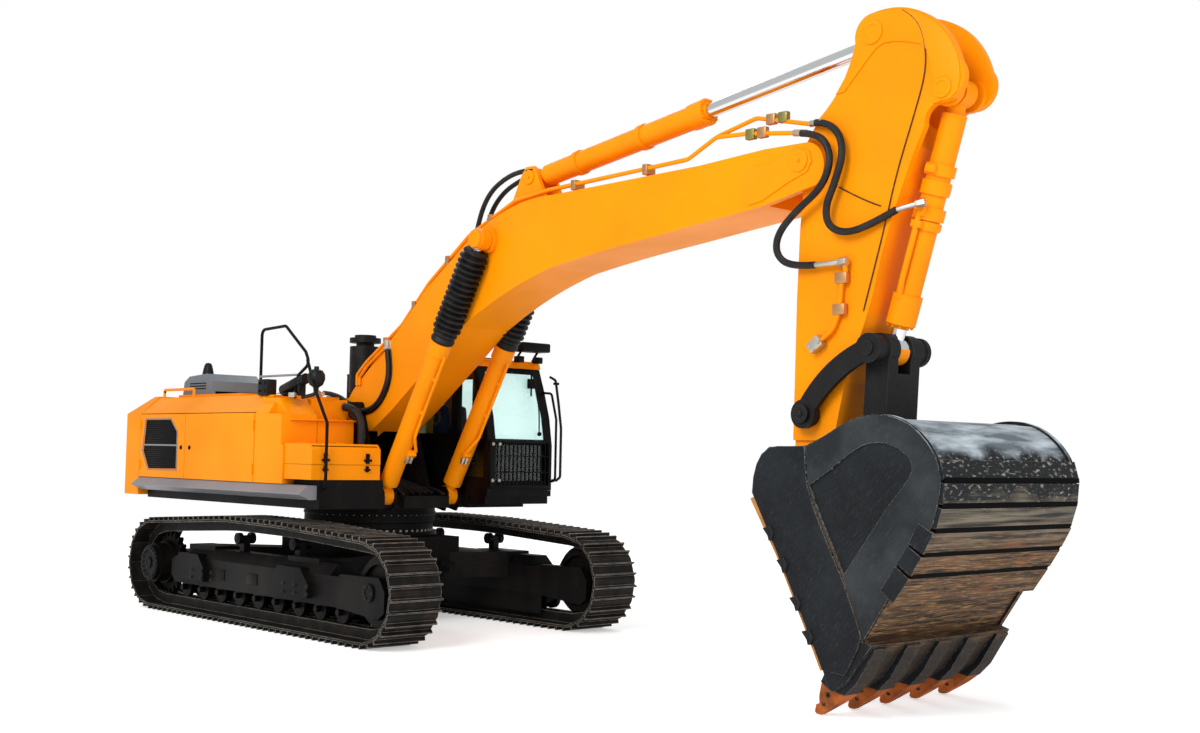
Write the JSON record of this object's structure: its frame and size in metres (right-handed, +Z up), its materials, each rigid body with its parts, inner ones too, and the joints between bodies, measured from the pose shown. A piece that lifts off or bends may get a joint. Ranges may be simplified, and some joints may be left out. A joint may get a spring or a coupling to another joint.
{
  "type": "crawler excavator",
  "caption": "Large crawler excavator: revolving house with cab and counterweight on tracks, bent boom, hanging arm and a strapped digging bucket worked by cylinders.",
  "frame": {"origin": "on the ground under the middle of the whole machine as it stands, arm and bucket included", "axes": "+X forward towards the bucket, +Y to the left, +Z up"},
  "size_m": [11.6745, 3.22, 5.4702],
  "materials": {
    "body_orange": "gloss amber-orange paint",
    "undercarriage_black": "satin black paint, dusty",
    "frame_black": "satin black paint",
    "track_steel": "dark steel, worn bright on the grousers",
    "engine_grey": "satin",
    "skirt_grey": "satin grey paint",
    "stack_black": "satin",
    "rail_black": "satin black paint",
    "cab_black": "gloss black paint",
    "cab_glass": "lightly tinted",
    "seat_fabric": "dark blue cloth",
    "console_plastic": "grained",
    "bucket_steel": "scratched dark paint with rust on the back",
    "tooth_steel": "rusty orange cast steel",
    "chrome_rod": "polished",
    "link_black": "satin black paint"
  },
  "bodies": {
    "undercarriage": {"track_right": "track_steel", "track_left": "track_steel", "track_frame_right": "undercarriage_black", "track_frame_left": "undercarriage_black", "idlers": "undercarriage_black", "final_drives": "undercarriage_black", "track_rollers": "undercarriage_black", "carbody": "undercarriage_black"},
    "house": {"main_frame": "frame_black", "counterweight": "body_orange", "engine_block": "engine_grey", "hood_panels": "body_orange", "fuel_tank": "body_orange", "hydraulic_tank": "body_orange", "toolbox": "body_orange", "side_skirts": "skirt_grey", "intake_stack": "stack_black", "handrails": "rail_black", "cab_floor": "cab_black", "cab_side_walls": "cab_black", "cab_end_walls": "cab_black", "cab_roof": "body_orange", "cab_glass": "cab_glass", "operator_seat": "seat_fabric", "cab_console": "console_plastic"},
    "cab_door": {"cab_door": "cab_black", "cab_door_glass": "cab_glass"},
    "right_rear_door": {"right_rear_door": "body_orange"},
    "right_mid_door": {"right_mid_door": "body_orange"},
    "left_rear_door": {"left_rear_door": "body_orange"},
    "left_mid_door": {"left_mid_door": "body_orange"},
    "engine_hood": {"engine_hood": "body_orange"},
    "toolbox_lid": {"toolbox_lid": "body_orange"},
    "boom": {"boom": "body_orange"},
    "boom_barrels": {"boom_cylinder_barrels": "body_orange"},
    "boom_rods": {"boom_cylinder_rods": "chrome_rod"},
    "arm_barrel": {"arm_cylinder_barrel": "body_orange"},
    "arm_rod": {"arm_cylinder_rod": "chrome_rod"},
    "arm": {"arm": "body_orange"},
    "bucket_barrel": {"bucket_cylinder_barrel": "body_orange"},
    "bucket_rod": {"bucket_cylinder_rod": "chrome_rod"},
    "side_links": {"side_links": "link_black"},
    "bucket_link": {"bucket_link": "link_black"},
    "bucket": {"bucket": "bucket_steel", "bucket_teeth": "tooth_steel"}
  },
  "joints": [
    {"name": "slew", "type": "hinge", "parent": "undercarriage", "child": "house", "pos_m": [-2.4473, 0, 1.1], "axis": [0, 0, 1], "continuous": true},
    {"name": "boom_lift", "type": "hinge", "parent": "house", "child": "boom", "pos_m": [-2.2973, 0, 2.32], "axis": [0, -1, 0], "range_deg": [-50, 38]},
    {"name": "arm_swing", "type": "hinge", "parent": "boom", "child": "arm", "pos_m": [4.0327, 0, 4.35], "axis": [0, 1, 0], "range_deg": [-105, 4]},
    {"name": "bucket_curl", "type": "hinge", "parent": "arm", "child": "bucket", "pos_m": [4.1727, 0, 1.8], "axis": [0, 1, 0], "range_deg": [-5, 140]},
    {"name": "boom_barrels_swing", "type": "hinge", "parent": "house", "child": "boom_barrels", "pos_m": [-1.5673, 0, 1.42], "axis": [0, 1, 0], "range_deg": [-35.98, 46.84]},
    {"name": "boom_rods_slide", "type": "slide", "parent": "boom_barrels", "child": "boom_rods", "axis": [0.5121, 0, 0.8589], "range_m": [-0.9621, 0.739]},
    {"name": "arm_barrel_swing", "type": "hinge", "parent": "boom", "child": "arm_barrel", "pos_m": [0.4027, 0, 4.7], "axis": [0, 1, 0], "range_deg": [-0.4, 6.93]},
    {"name": "arm_rod_slide", "type": "slide", "parent": "arm_barrel", "child": "arm_rod", "axis": [0.9904, 0, 0.1382], "range_m": [-1.8396, 0.1061]},
    {"name": "bucket_barrel_swing", "type": "hinge", "parent": "arm", "child": "bucket_barrel", "pos_m": [5.3527, 0, 4.745], "axis": [0, 1, 0], "range_deg": [-2.84, 0.16]},
    {"name": "bucket_rod_slide", "type": "slide", "parent": "bucket_barrel", "child": "bucket_rod", "axis": [-0.292, 0, -0.9564], "range_m": [-0.0683, 1.2359]},
    {"name": "side_links_swing", "type": "hinge", "parent": "arm", "child": "side_links", "pos_m": [4.1127, 0, 2.27], "axis": [0, 1, 0], "range_deg": [-5.42, 98.1]},
    {"name": "bucket_link_swing", "type": "hinge", "parent": "side_links", "child": "bucket_link", "pos_m": [4.7527, 0, 2.78], "axis": [0, 1, 0], "range_deg": [-39.27, 2.17]},
    {"name": "cab_door_hinge", "type": "hinge", "parent": "house", "child": "cab_door", "pos_m": [-2.3653, 1.508, 2.1], "axis": [0, 0, 1], "range_deg": [0, 95]},
    {"name": "right_rear_door_hinge", "type": "hinge", "parent": "house", "child": "right_rear_door", "pos_m": [-5.1953, -1.508, 1.9], "axis": [0, 0, -1], "range_deg": [0, 100]},
    {"name": "right_mid_door_hinge", "type": "hinge", "parent": "house", "child": "right_mid_door", "pos_m": [-2.5193, -1.508, 1.9], "axis": [0, 0, 1], "range_deg": [0, 100]},
    {"name": "left_rear_door_hinge", "type": "hinge", "parent": "house", "child": "left_rear_door", "pos_m": [-5.1953, 1.508, 1.9], "axis": [0, 0, 1], "range_deg": [0, 100]},
    {"name": "left_mid_door_hinge", "type": "hinge", "parent": "house", "child": "left_mid_door", "pos_m": [-2.9393, 1.508, 1.9], "axis": [0, 0, -1], "range_deg": [0, 100]},
    {"name": "engine_hood_hinge", "type": "hinge", "parent": "house", "child": "engine_hood", "pos_m": [-5.1273, 0, 2.545], "axis": [0, -1, 0], "range_deg": [0, 55]},
    {"name": "toolbox_lid_hinge", "type": "hinge", "parent": "house", "child": "toolbox_lid", "pos_m": [-1.8773, -1.05, 1.974], "axis": [0, -1, 0], "range_deg": [0, 75]}
  ],
  "couplings": [
    {"joint": "boom_barrels_swing", "follows": "boom_lift", "ratio": -0.905},
    {"joint": "boom_rods_slide", "follows": "boom_lift", "m_per_rad": 1.065},
    {"joint": "arm_barrel_swing", "follows": "arm_swing", "ratio": -0.06463},
    {"joint": "arm_rod_slide", "follows": "arm_swing", "m_per_rad": 0.9834},
    {"joint": "bucket_barrel_swing", "follows": "bucket_curl", "ratio": -0.01986},
    {"joint": "bucket_rod_slide", "follows": "bucket_curl", "m_per_rad": 0.49555},
    {"joint": "side_links_swing", "follows": "bucket_curl", "ratio": 0.6865},
    {"joint": "bucket_link_swing", "follows": "bucket_curl", "ratio": -0.27483}
  ]
}
